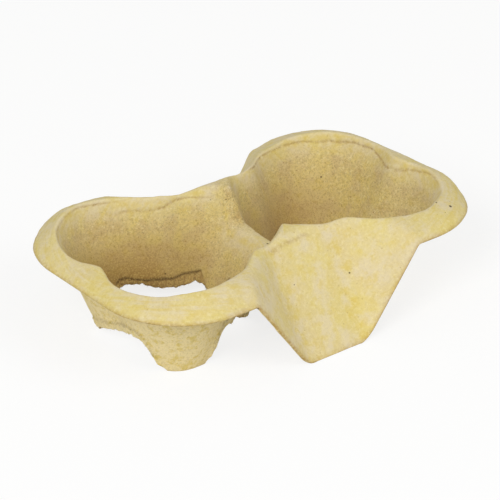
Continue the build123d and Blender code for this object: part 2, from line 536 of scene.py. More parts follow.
@dataclass
class FlatMesh:
    """Triangles over the footprint, as rows of x and y and rows of three indices."""

    places: Array
    triangles: Array

    @classmethod
    def grid(cls, half_x: float, half_y: float, spacing: float) -> "FlatMesh":
        """Makes a grid of triangles with diagonals that alternate.

        Args:
            half_x, half_y: Half of the least length and width of the grid.
            spacing: Distance between its lines.

        Returns:
            The grid.
        """
        count_x, count_y = (int(math.ceil(half / spacing)) * 2 + 1 for half in (half_x, half_y))
        xs, ys = ((np.arange(count) - count // 2) * spacing for count in (count_x, count_y))
        places = np.stack(np.meshgrid(xs, ys, indexing="ij"), axis=-1).reshape(-1, 2)
        index = np.arange(count_x * count_y).reshape(count_x, count_y)
        a, b = index[:-1, :-1].ravel(), index[1:, :-1].ravel()
        c, d = index[1:, 1:].ravel(), index[:-1, 1:].ravel()
        odd = (np.add.outer(np.arange(count_x - 1), np.arange(count_y - 1)) % 2).ravel() == 1
        first = np.where(odd[:, None], np.stack([a, b, d], 1), np.stack([a, b, c], 1))
        second = np.where(odd[:, None], np.stack([b, c, d], 1), np.stack([a, c, d], 1))
        return cls(places, np.vstack([first, second]))

    def sides(self) -> Array:
        """The three directed sides of each triangle in turn, as rows of two indices."""
        return self.triangles[:, [[0, 1], [1, 2], [2, 0]]].reshape(-1, 2)

    def edges(self) -> tuple[Array, Array]:
        """Every edge once, and the three edges of each triangle."""
        unique, inverse = np.unique(np.sort(self.sides(), axis=1), axis=0, return_inverse=True)
        return unique, inverse.reshape(-1, 3)

    def border(self) -> Array:
        """Directed edges that only one triangle uses."""
        _, of_triangle = self.edges()
        return self.sides()[np.bincount(of_triangle.ravel())[of_triangle.ravel()] == 1]

    def refined(self, heights: HeightMap, limits: Array) -> "FlatMesh":
        """Splits the edges that are too long on the sheet.

        Args:
            heights: The softened form.
            limits: Longest edge allowed at each place.

        Returns:
            The finer mesh.
        """
        edges, of_triangle = self.edges()
        spots = np.column_stack([self.places, heights.levels(self.places)])
        length = np.linalg.norm(spots[edges[:, 0]] - spots[edges[:, 1]], axis=1)
        long = length > limits[edges].min(axis=1)
        middle = np.full(len(edges), -1)
        middle[long] = len(self.places) + np.arange(long.sum())
        places = np.vstack([self.places, self.places[edges[long]].mean(axis=1)])
        parts: list[Array] = []
        marks = long[of_triangle]
        for count in range(4):
            for turn in range(3):
                corner, mids, mark = (
                    np.roll(rows, -turn, axis=1) for rows in (self.triangles, middle[of_triangle], marks)
                )
                chosen = marks.sum(axis=1) == count
                if count in (1, 2):
                    chosen &= mark[:, 0] & (mark[:, 1] == (count == 2)) & ~mark[:, 2]
                elif turn:
                    continue
                a, b, c = corner[chosen].T
                ab, bc, ca = mids[chosen].T
                pieces = {
                    0: [(a, b, c)],
                    1: [(a, ab, c), (ab, b, c)],
                    2: [(ab, b, bc), (a, ab, bc), (a, bc, c)],
                    3: [(a, ab, ca), (ab, b, bc), (ca, bc, c), (ab, bc, ca)],
                }[count]
                parts.extend(np.stack(piece, axis=1) for piece in pieces)
        return FlatMesh(places, np.vstack(parts))

    def clipped(self, values: Array, snap: float = 0.22) -> "FlatMesh":
        """Keeps what lies where the values are above zero, cutting the triangles across.

        Args:
            values: One number for each place, zero on the cut.
            snap: Share of an edge within which its end moves to the cut.

        Returns:
            The mesh that is left.
        """
        places, values = self.places.copy(), values.copy()
        edges, of_triangle = self.edges()
        first, second = edges.T
        crossing = (values[first] > 0) != (values[second] > 0)
        start, stop = first[crossing], second[crossing]
        share = values[start] / (values[start] - values[stop])
        cut = self.places[start] + share[:, None] * (self.places[stop] - self.places[start])
        for ends, close in ((start, share < snap), (stop, share > 1 - snap)):
            places[ends[close]] = cut[close]
            values[ends[close]] = 0
        crossing = values[first] * values[second] < 0
        share = values[first] / np.where(crossing, values[first] - values[second], 1)
        fresh = places[first] + share[:, None] * (places[second] - places[first])
        number = np.full(len(edges), -1)
        number[crossing] = len(places) + np.arange(crossing.sum())
        places = np.vstack([places, fresh[crossing]])
        keep, gone = values[self.triangles] > 0, values[self.triangles] < 0
        parts = [self.triangles[~gone.any(axis=1) & keep.any(axis=1)]]
        for turn in range(3):
            (a, b, c), (ab, bc, ca), (in_a, in_b, in_c), (out_a, out_b, out_c) = (
                np.roll(rows, -turn, axis=1).T for rows in (self.triangles, number[of_triangle], keep, gone)
            )
            on_cut = ~in_a & ~out_a
            for chosen, corners in (
                (in_a & out_b & out_c, (a, ab, ca)),
                (in_a & in_b & out_c, (a, b, bc)),
                (in_a & in_b & out_c, (a, bc, ca)),
                (on_cut & in_b & out_c, (a, b, bc)),
                (on_cut & out_b & in_c, (a, bc, c)),
            ):
                parts.append(np.stack(corners, axis=1)[chosen])
        return FlatMesh(places, np.vstack(parts)).tidied()

    def tidied(self, least_area: float = 1e-7, most_passes: int = 400) -> "FlatMesh":
        """Drops flat triangles, loose islands and places that nothing uses.

        Args:
            least_area: Twice the area up to which a triangle counts as flat.
            most_passes: How often the islands' labels are spread at most.

        Returns:
            The largest connected part.
        """
        a, b, c = (self.places[self.triangles[:, corner]] for corner in range(3))
        area = (b[:, 0] - a[:, 0]) * (c[:, 1] - a[:, 1]) - (c[:, 0] - a[:, 0]) * (b[:, 1] - a[:, 1])
        triangles = self.triangles[area > least_area]
        label = np.arange(len(self.places))
        for _ in range(most_passes):
            least = label[triangles].min(axis=1)
            before = label.copy()
            for corner in range(3):
                np.minimum.at(label, triangles[:, corner], least)
            label = label[label]
            if np.array_equal(before, label):
                break
        of_triangle = label[triangles[:, 0]]
        names, counts = np.unique(of_triangle, return_counts=True)
        triangles = triangles[of_triangle == names[counts.argmax()]]
        used, inverse = np.unique(triangles, return_inverse=True)
        return FlatMesh(self.places[used], inverse.reshape(-1, 3))


# Node and object helpers

MULTIPLY, ADD, SUBTRACT = ({"operation": name} for name in ("MULTIPLY", "ADD", "SUBTRACT"))


def add_node(
    tree: Tree, kind: str, settings: dict[str, object] | None = None, **inputs: object
) -> bpy.types.Node:
    """Adds a node with its settings, values and links.

    Args:
        tree: The tree to add to.
        kind: Type name of the node.
        settings: Properties of the node, by name.
        inputs: Values, sockets, or nodes that stand for their first output, by input name
            with _ for a space, or iN for input N.

    Returns:
        The new node.
    """
    node = tree.nodes.new(kind)
    for name, value in (settings or {}).items():
        setattr(node, name, value)
    for name, value in inputs.items():
        numbered = name[0] == "i" and name[1:].isdigit()
        socket = node.inputs[int(name[1:])] if numbered else node.inputs[name.replace("_", " ")]
        if isinstance(value, bpy.types.Node):
            value = value.outputs[0]
        if isinstance(value, bpy.types.NodeSocket):
            tree.links.new(value, socket)
        else:
            socket.default_value = value
    return node


def new_material(name: str) -> tuple[bpy.types.Material, Tree]:
    """Makes a material with an empty tree.

    Args:
        name: Name of the material.

    Returns:
        The material and its tree.
    """
    material = bpy.data.materials.new(name)
    material.use_nodes = True
    material.node_tree.nodes.clear()
    return material, material.node_tree


def seen_directly(tree: Tree) -> Source:
    """Tells the camera's view, also through glass or in a mirror, from other light.

    Args:
        tree: The tree to add to.

    Returns:
        One for rays that show the place in the picture, else zero.
    """
    path = add_node(tree, "ShaderNodeLightPath").outputs
    seen = path["Is Camera Ray"]
    for name in ("Is Glossy Ray", "Is Transmission Ray"):
        seen = add_node(tree, "ShaderNodeMath", {"operation": "MAXIMUM"}, i0=seen, i1=path[name])
    return seen


def link_object(name: str, data: bpy.types.ID) -> bpy.types.Object:
    """Puts a mesh, a lamp or a camera into the scene.

    Args:
        name: The object's name.
        data: What it shows.

    Returns:
        The new object.
    """
    thing = bpy.data.objects.new(name, data)
    bpy.context.scene.collection.objects.link(thing)
    return thing


# Finishes


def linear_colour(code: str) -> tuple[float, float, float, float]:
    """Turns an sRGB hex colour into linear values.

    Args:
        code: Six hex digits, such as "d9c98b".

    Returns:
        Red, green, blue and an alpha of one.
    """
    channels = [int(code[start : start + 2], 16) / 255 for start in (0, 2, 4)]
    linear = [c / 12.92 if c <= 0.04045 else ((c + 0.055) / 1.055) ** 2.4 for c in channels]
    return (linear[0], linear[1], linear[2], 1.0)


class Tone(Enum):
    """Tones of the dried pulp, as sRGB hex colours."""

    FACE = "dbc994"
    PALE = "e0d2b2"
    LIGHT = "e9dba6"
    OUTER_FACE_AND_LIGHT = "f1dfa9"
    STRAW = "dfcd7c"
    GOLD = "dac262"
    WALL = "d2b86e"
    RUST = "b08c49"
    DEEP = "967339"
    LIP = "a38350"
    CUT = "ad8636"
    GROOVE_AND_SHADE = "9c7436"
    DARK_BROWN_AND_SHADE = "503a1e"
    BARK = "6a5026"
    SPECK = "463722"


@dataclass(frozen=True)
class Layer:
    """One tone laid over the pulp, evenly or through a cloud of noise.

    The layer keeps to one trait of the sheet, or lies everywhere without one. The
    cloud lets the tone through from none at its low value to most at its high one.
    """

    tone: Tone
    where: Trait | None
    most: float
    size_mm: float | None = None
    low: float = 0.0
    high: float = 1.0
    detail: float = 4.0
    rough: float = 0.55
    drawn: bool = False

    def share(self, tree: Tree, place: Source, streak: Source) -> Source | float:
        """Works out how much of the tone shows.

        Args:
            tree: The material's tree.
            place: The place in the object's own axes.
            streak: The place measured along and across the streaks.

        Returns:
            The share, as a node, or as one number where the layer is even.
        """
        share = self.most
        if self.size_mm is not None:
            cloud = add_node(
                tree, "ShaderNodeTexNoise", Vector=streak if self.drawn else place,
                Scale=1 / (self.size_mm * MM), Detail=self.detail, Roughness=self.rough,
            )
            share = add_node(
                tree, "ShaderNodeMapRange", i0=cloud, i1=self.low, i2=self.high, i3=0.0, i4=self.most
            )
        if self.where is not None:
            trait = add_node(tree, "ShaderNodeAttribute", {"attribute_name": self.where.value})
            share = add_node(tree, "ShaderNodeMath", MULTIPLY, i0=trait.outputs["Fac"], i1=share)
        return share


@dataclass(frozen=True)
class Specks:
    """Round dots in some of the cells of a given size, up to a share of the cell wide."""

    tone: Tone
    cell_mm: float
    chosen: float
    width: float
    on_flange: float
    on_wall: float
    blur: float = 0.045
    soft_chance: float = 0.01

    def share(self, tree: Tree, place: Source) -> Source:
        """Works out where the dots are.

        Args:
            tree: The material's tree.
            place: The place in the object's own axes.

        Returns:
            How much of the tone shows.
        """
        cells = add_node(tree, "ShaderNodeTexVoronoi", Vector=place, Scale=1 / (self.cell_mm * MM)).outputs
        chance = add_node(tree, "ShaderNodeSeparateColor", i0=cells["Color"]).outputs
        size = add_node(tree, "ShaderNodeMapRange", i0=chance[1], i4=self.width)
        inside = add_node(tree, "ShaderNodeMath", SUBTRACT, i0=size, i1=cells["Distance"])
        wall = add_node(tree, "ShaderNodeAttribute", {"attribute_name": Trait.WALL.value}).outputs["Fac"]
        share = add_node(tree, "ShaderNodeMapRange", i0=inside, i2=self.blur)
        left_out = 1 - self.chosen
        for factor in (
            add_node(tree, "ShaderNodeMapRange", i0=chance[0], i1=left_out, i2=left_out + self.soft_chance),
            add_node(tree, "ShaderNodeMapRange", i0=wall, i3=self.on_flange, i4=self.on_wall),
        ):
            share = add_node(tree, "ShaderNodeMath", MULTIPLY, i0=share, i1=factor)
        return share


@dataclass(frozen=True)
class MouldedPulpFinish:
    """Straw-coloured paper pulp, vacuum moulded on a wire screen and air dried.

    It is fully matt. Fibre clumps give it a mottled grain, the pockets' walls are browner than the flange
    and darker low down, partly their own colour and partly painted shade, and flecks of bark and old print
    stay in it.
    """

    name: str = "moulded_paper_pulp"
    layers: tuple[Layer, ...] = (
        # Straw-yellow clouds, paler ones where bleached fibre settled, and golden blotches
        Layer(Tone.STRAW, None, 0.7, 24.0, 0.4, 0.62, 2.0),
        Layer(Tone.PALE, None, 0.65, 9.0, 0.44, 0.63, 3.0),
        Layer(Tone.GOLD, None, 0.5, 5.0, 0.52, 0.7, 2.0),
        # Streaks round the flange, where the wet sheet was drawn down into the pockets
        Layer(Tone.GOLD, Trait.FLANGE, 0.6, 1.7, 0.52, 0.68, 3.0, 0.6, drawn=True),
        Layer(Tone.PALE, Trait.FLANGE, 0.5, 1.7, 0.46, 0.34, 3.0, 0.6, drawn=True),
        # The outer face is paler and blotched with gold; the pocket walls are browner and darker low down,
        # partly their own colour and partly painted shade
        # Partly the outer face's own paler tone, partly painted light where the lamp leaves the feet in
        # shade
        Layer(Tone.OUTER_FACE_AND_LIGHT, Trait.UNDER, 0.85),
        Layer(Tone.GOLD, Trait.UNDER, 0.75, 3.6, 0.5, 0.64, 3.0, 0.65),
        # Partly the walls' own browner tone, partly painted shade inside the pockets
        Layer(Tone.WALL, Trait.WALL, 0.5),
        Layer(Tone.GOLD, Trait.RIM, 0.7, 7.0, 0.4, 0.62, 2.0),
        Layer(Tone.RUST, Trait.WALL, 0.3, 9.0, 0.45, 0.62, 3.0),
        # Painted shade deep in the pockets, over walls that are partly browner there too
        Layer(Tone.DEEP, Trait.LOW_BROWN_AND_SHADE, 1.0),
        # Ridges are painted pale in patches as a highlight; folds and the rolled edge dry yellower
        Layer(Tone.PALE, Trait.RIDGE_HIGHLIGHT, 0.65, 8.0, 0.36, 0.62),
        Layer(Tone.GOLD, Trait.FOLD, 0.5, 5.0, 0.42, 0.6),
        Layer(Tone.STRAW, Trait.ROLL, 0.55, 6.0, 0.38, 0.62),
        # Torn lips are brown and fibrous; creases and the lips' fold line are painted darker as shade
        Layer(Tone.LIP, Trait.LIP, 0.75, 1.4, 0.3, 0.55, rough=0.7),
        Layer(Tone.DARK_BROWN_AND_SHADE, Trait.LIP, 0.5, 2.1, 0.52, 0.68, rough=0.7),
        Layer(Tone.WALL, Trait.LIP, 0.5, 1.7, 0.52, 0.68, rough=0.7),
        # Painted shade along the pressed creases
        Layer(Tone.GROOVE_AND_SHADE, Trait.GROOVE_AND_SHADE, 1.0, 2.6, 0.3, 0.52, 3.0),
        # Painted shade: a dark line along the lips' fold, where the wall steps out
        Layer(Tone.DARK_BROWN_AND_SHADE, Trait.DARK_BROWN_AND_SHADE, 0.85),
        Layer(Tone.DARK_BROWN_AND_SHADE, Trait.TORN, 0.5, 1.2, 0.35, 0.65, 3.0),
        Layer(Tone.CUT, Trait.CUT, 0.9, 3.0, 0.2, 0.55, 3.0),
        # Felted grain: light clumps of fibre all over, brown ones from the rim down
        Layer(Tone.LIGHT, Trait.AWAY_FROM_LOW_DARKENING, 0.55, 1.6, 0.5, 0.7, 3.0, 0.65),
        Layer(Tone.BARK, Trait.GRAINED, 0.26, 1.25, 0.5, 0.66, 3.0, 0.65),
        Layer(Tone.BARK, Trait.GRAINED, 0.34, 0.7, 0.5, 0.66, 3.0, 0.65),
        Layer(Tone.WALL, Trait.LOW_BROWN_AND_SHADE, 0.7, 0.75, 0.48, 0.66, 3.0, 0.7),
    )
    # Flecks of bark, most of them on the walls, and a few dark specks of old print
    specks: tuple[Specks, ...] = (
        Specks(Tone.DEEP, 2.3, 0.4, 0.2, on_flange=0.29, on_wall=0.7),
        Specks(Tone.SPECK, 5.5, 0.25, 0.115, on_flange=0.85, on_wall=0.85),
    )
    # Place and radius of each stain
    stains_mm: tuple[tuple[float, float, float, float], ...] = ((82.2, -54.1, 49.1, 0.9),)
    stain_share: float = 0.95
    stain_core: float = 0.7
    streak_share: float = 0.113
    # Size in millimetres, detail and roughness of the felt's grain and of the lumps. Pulp
    # fibres are about 0.03 mm wide, too fine to show, so the felt is drawn coarser
    felt_grain: tuple[float, float, float] = (0.56, 4.0, 0.75)
    lump_grain: tuple[float, float, float] = (2.5, 3.0, 0.6)
    felt_share: float = 0.5
    relief_mm: float = 0.35
    relief_strength: float = 0.5
    outer_relief: float = 1.8
    roughness: float = 0.93
    # The specular level and the sheen of dry paper
    constants: tuple[tuple[str, float], ...] = (
        ("IOR", 1.45), ("Specular IOR Level", 0.25), ("Sheen Weight", 0.08), ("Sheen Roughness", 0.6),
    )

    def build(self) -> bpy.types.Material:
        """Builds the material: layers of tone, flecks and specks, and a felted bump.

        Returns:
            The material.
        """
        material, tree = new_material(self.name)
        place = add_node(tree, "ShaderNodeTexCoord").outputs["Object"]
        streak = self.streak_place(tree, place)
        tones = [(layer.share(tree, place, streak), layer.tone) for layer in self.layers]
        tones += [(specks.share(tree, place), specks.tone) for specks in self.specks]
        for *middle, radius in self.stains_mm:
            away = add_node(
                tree, "ShaderNodeVectorMath", {"operation": "DISTANCE"}, i0=place, i1=Vector(middle) * MM
            ).outputs["Value"]
            rim, core = radius * MM, self.stain_core * radius * MM
            stain = add_node(tree, "ShaderNodeMapRange", i0=away, i1=rim, i2=core, i4=self.stain_share)
            tones.append((stain, Tone.SPECK))
        colour = linear_colour(Tone.FACE.value)
        for share, tone in tones:
            laid = linear_colour(tone.value)
            mixed = add_node(tree, "ShaderNodeMix", {"data_type": "RGBA"}, i0=share, i6=colour, i7=laid)
            colour = mixed.outputs[2]
        shader = add_node(
            tree, "ShaderNodeBsdfPrincipled",
            Base_Color=colour, Roughness=self.roughness, Normal=self.felt(tree, place),
        )
        for name, value in self.constants:
            shader.inputs[name].default_value = value
        add_node(tree, "ShaderNodeOutputMaterial", Surface=shader)
        return material

    def felt(self, tree: Tree, place: Source) -> Source:
        """Raises the felted grain and the lumps of fibre, more so on the screen side.

        Args:
            tree: The material's tree.
            place: The place in the object's own axes.

        Returns:
            The bumped normal.
        """
        felt, lumps = (
            add_node(
                tree, "ShaderNodeTexNoise",
                Vector=place, Scale=1 / (size * MM), Detail=detail, Roughness=rough,
            )
            for size, detail, rough in (self.felt_grain, self.lump_grain)
        )
        felt = add_node(tree, "ShaderNodeMath", MULTIPLY, i0=felt, i1=self.felt_share)
        relief = add_node(tree, "ShaderNodeMath", ADD, i0=felt, i1=lumps)
        under = add_node(tree, "ShaderNodeAttribute", {"attribute_name": Trait.UNDER.value}).outputs["Fac"]
        rougher = add_node(tree, "ShaderNodeMapRange", i0=under, i3=1.0, i4=self.outer_relief)
        relief = add_node(tree, "ShaderNodeMath", MULTIPLY, i0=relief, i1=rougher)
        return add_node(
            tree, "ShaderNodeBump",
            Strength=self.relief_strength, Distance=self.relief_mm * MM, Height=relief,
        )

    def streak_place(self, tree: Tree, place: Source) -> Source:
        """Measures a place out from the pockets' axes and along circles about them.

        Args:
            tree: The material's tree.
            place: The place in the object's own axes.

        Returns:
            Distance from the nearer axis, and the way round it squeezed into long streaks.
        """
        spot = add_node(tree, "ShaderNodeSeparateXYZ", Vector=place).outputs
        side = add_node(tree, "ShaderNodeMath", {"operation": "ABSOLUTE"}, i0=spot["X"])
        across = add_node(tree, "ShaderNodeMath", SUBTRACT, i0=side, i1=POCKET_AXIS * MM)
        flat = add_node(tree, "ShaderNodeCombineXYZ", X=across, Y=spot["Y"])
        radius = add_node(tree, "ShaderNodeVectorMath", {"operation": "LENGTH"}, i0=flat).outputs["Value"]
        way = add_node(tree, "ShaderNodeVectorMath", {"operation": "NORMALIZE"}, i0=flat)
        squeezed = POCKET_AXIS * MM * self.streak_share
        way = add_node(tree, "ShaderNodeVectorMath", {"operation": "SCALE"}, i0=way, Scale=squeezed)
        turn = add_node(tree, "ShaderNodeSeparateXYZ", Vector=way).outputs
        return add_node(tree, "ShaderNodeCombineXYZ", X=radius, Y=turn["X"], Z=turn["Y"])


@dataclass(frozen=True)
class LooseFibreFinish:
    """Wood fibres teased out of a torn pulp edge, paler than the felted sheet."""

    name: str = "loose_wood_fibre"
    pale: str = "d9c48c"
    brown: str = "9c7d48"
    change_mm: float = 4.0
    roughness: float = 0.85

    def build(self) -> bpy.types.Material:
        """Builds the material, whose colour drifts from fibre to fibre.

        Returns:
            The material.
        """
        material, tree = new_material(self.name)
        place = add_node(tree, "ShaderNodeTexCoord").outputs["Object"]
        drift = add_node(
            tree, "ShaderNodeTexNoise", Vector=place, Scale=1 / (self.change_mm * MM), Detail=2.0
        )
        colour = add_node(
            tree, "ShaderNodeMix", {"data_type": "RGBA"},
            i0=drift, i6=linear_colour(self.pale), i7=linear_colour(self.brown),
        ).outputs[2]
        shader = add_node(tree, "ShaderNodeBsdfPrincipled", Base_Color=colour, Roughness=self.roughness)
        add_node(tree, "ShaderNodeOutputMaterial", Surface=shader)
        return material


@dataclass(frozen=True)
class StudioFloorFinish:
    """White paper sweep that the carrier stands on, matt and near white to the camera."""

    name: str = "white_paper_sweep"
    colour: str = "f4f4f2"
    glow: float = 0.8
    roughness: float = 0.5

    def build(self) -> bpy.types.Material:
        """Builds the material: matt paper that stays near white where the camera sees it.

        Returns:
            The material.
        """
        material, tree = new_material(self.name)
        paper = add_node(
            tree, "ShaderNodeBsdfDiffuse", Color=linear_colour(self.colour), Roughness=self.roughness
        )
        white = add_node(tree, "ShaderNodeEmission", Color=linear_colour("ffffff"), Strength=1.0)
        share = add_node(tree, "ShaderNodeMath", MULTIPLY, i0=seen_directly(tree), i1=self.glow)
        both = add_node(tree, "ShaderNodeMixShader", i0=share, i1=paper, i2=white)
        add_node(tree, "ShaderNodeOutputMaterial", Surface=both)
        return material


# The carrier


@dataclass
class RimCrease:
    """A line pressed into a pocket's wall where the wet sheet slipped on the mould.

    The track gives, by the angle about the pocket's axis, how far below the rim the
    line runs in millimetres, and how strong it is from 0 to 1.
    """

    pocket: Pocket
    track: Track
    width: float = 0.5
    wander: Ripples = ((3.3, 0.35, 31), (9.0, 0.35, 31))

    def offset(self, places: Array, depth: Array) -> tuple[Array, Array]:
        """Measures how far each place is from the line.

        Args:
            places: Rows of x and y.
            depth: How far each place is below the rim.

        Returns:
            Distance below the line, and the line's strength.
        """
        x, y = places.T
        angle = np.degrees(np.arctan2(y, x * self.pocket.value - POCKET_AXIS))
        angles, depths, strengths = np.array(self.track).T
        strength = np.interp(angle, angles, strengths) * (x * self.pocket.value > 0)
        return depth - np.interp(angle, angles, depths) - waves(places, self.wander), strength


RIM_CREASES = (
    RimCrease(Pocket.RIGHT, (
        (-40, 0.8, 0.0), (-29, 1.2, 0.5), (-17, 2.7, 0.7), (-6, 5.2, 0.8), (6, 6.2, 0.8),
        (14, 5.8, 0.9), (22, 3.6, 1.0), (32, 3.4, 0.9), (43, 4.7, 0.9), (54, 4.4, 0.7),
        (69, 2.7, 0.8), (80, 1.4, 0.8), (93, 1.1, 1.0), (112, 1.1, 1.0), (120, 1.0, 0.0),
    )),
    RimCrease(Pocket.LEFT, (
        (14, 1.0, 0.0), (33, 1.3, 0.5), (48, 1.5, 0.6), (59, 1.4, 0.4), (65, 1.3, 0.7),
        (72, 1.4, 1.0), (78, 1.7, 0.9), (84, 1.6, 0.3), (96, 1.2, 0.0),
    )),
    RimCrease(Pocket.LEFT, (
        (80, 8.0, 0.0), (89, 7.4, 0.45), (98, 6.2, 0.7), (104, 6.4, 0.45), (115, 6.2, 0.9),
        (123, 4.8, 0.8), (131, 4.6, 0.8), (139, 4.8, 0.6), (150, 4.5, 0.0),
    )),
)


@dataclass(frozen=True)
class Arches:
    """The openings that were torn into the walls between the feet, by place and height."""

    end: Profile = ((-19, 0), (-12, 9), (12, 9), (19, 0))
    left_end: Profile = (
        (-27.5, 0.0), (-26.0, 4.0), (-24.6, 6.0), (-24.3, 12.0), (-23.2, 16.5), (-22.0, 19.0),
        (-20.0, 20.0), (-15.4, 19.7), (-12.4, 18.5), (-7.7, 16.0), (-1.1, 12.6), (4.8, 11.0),
        (12.8, 9.0), (18.6, 6.5), (22.0, 4.5), (24.0, 0.0),
    )
    inner: Profile = ((-8, 0), (-5, 9), (5, 9), (8, 0))
    near_left: Profile = (
        (-57.0, 0.0), (-54.0, 9.0), (-50.0, 22.0), (-46.0, 20.0), (-43.0, 17.5), (-37.0, 18.0),
        (-34.0, 21.0), (-31.0, 25.0), (-27.0, 25.0), (-24.0, 9.0), (-19.0, 9.0), (-16.5, 0.0),
    )
    far_left: Profile = (
        (-57.5, 0.0), (-55.0, 11.5), (-51.5, 11.8), (-41.6, 9.7), (-36.8, 8.9), (-25.4, 8.2),
        (-22.5, 9.0), (-20.7, 11.0), (-19.4, 9.0), (-17.6, 7.3), (-17.2, 0.0),
    )
    right_side_shares: tuple[float, float] = (0.22, 0.74)
    right_side_slope: float = 2.5
    near_right_height: float = 8.0
    far_right_height: float = 5.0
    side_wall_from: float = 10.0
    open_from: float = 1.5

    def height(self, form: SheetForm, thickness: float, places: Array) -> Array:
        """Finds how high the walls are open.

        Args:
            form: The sheet's form.
            thickness: The sheet's thickness.
            places: Rows of x and y.

        Returns:
            Height of the opening over each place, zero at the feet.
        """
        x, y = places.T
        highest = np.zeros(len(places))
        for pocket in form.pockets:
            reach = x * pocket.side.value
            if pocket.side is Pocket.LEFT:
                end = self.left_end
                side = np.where(y < 0, table_at(self.near_left, x, 0), table_at(self.far_left, x, 0))
            else:
                end = self.end
                start, stop = (share * pocket.foot_reach for share in self.right_side_shares)
                run = np.minimum(reach - start, stop - reach) / self.right_side_slope
                side = np.where(y > 0, self.far_right_height, self.near_right_height) * np.clip(run, 0, 1)
            in_panel = np.abs(y) > pocket.crown_half_width - thickness
            side = np.where(in_panel | (np.abs(y) < self.side_wall_from), 0, side)
            for here, height in (
                (reach > POCKET_AXIS, table_at(end, y, 0)),
                ((reach > 0) & (reach < POCKET_AXIS), table_at(self.inner, y, 0)),
                (reach > 0, side),
            ):
                highest = np.maximum(highest, np.where(here, height, 0))
        return highest


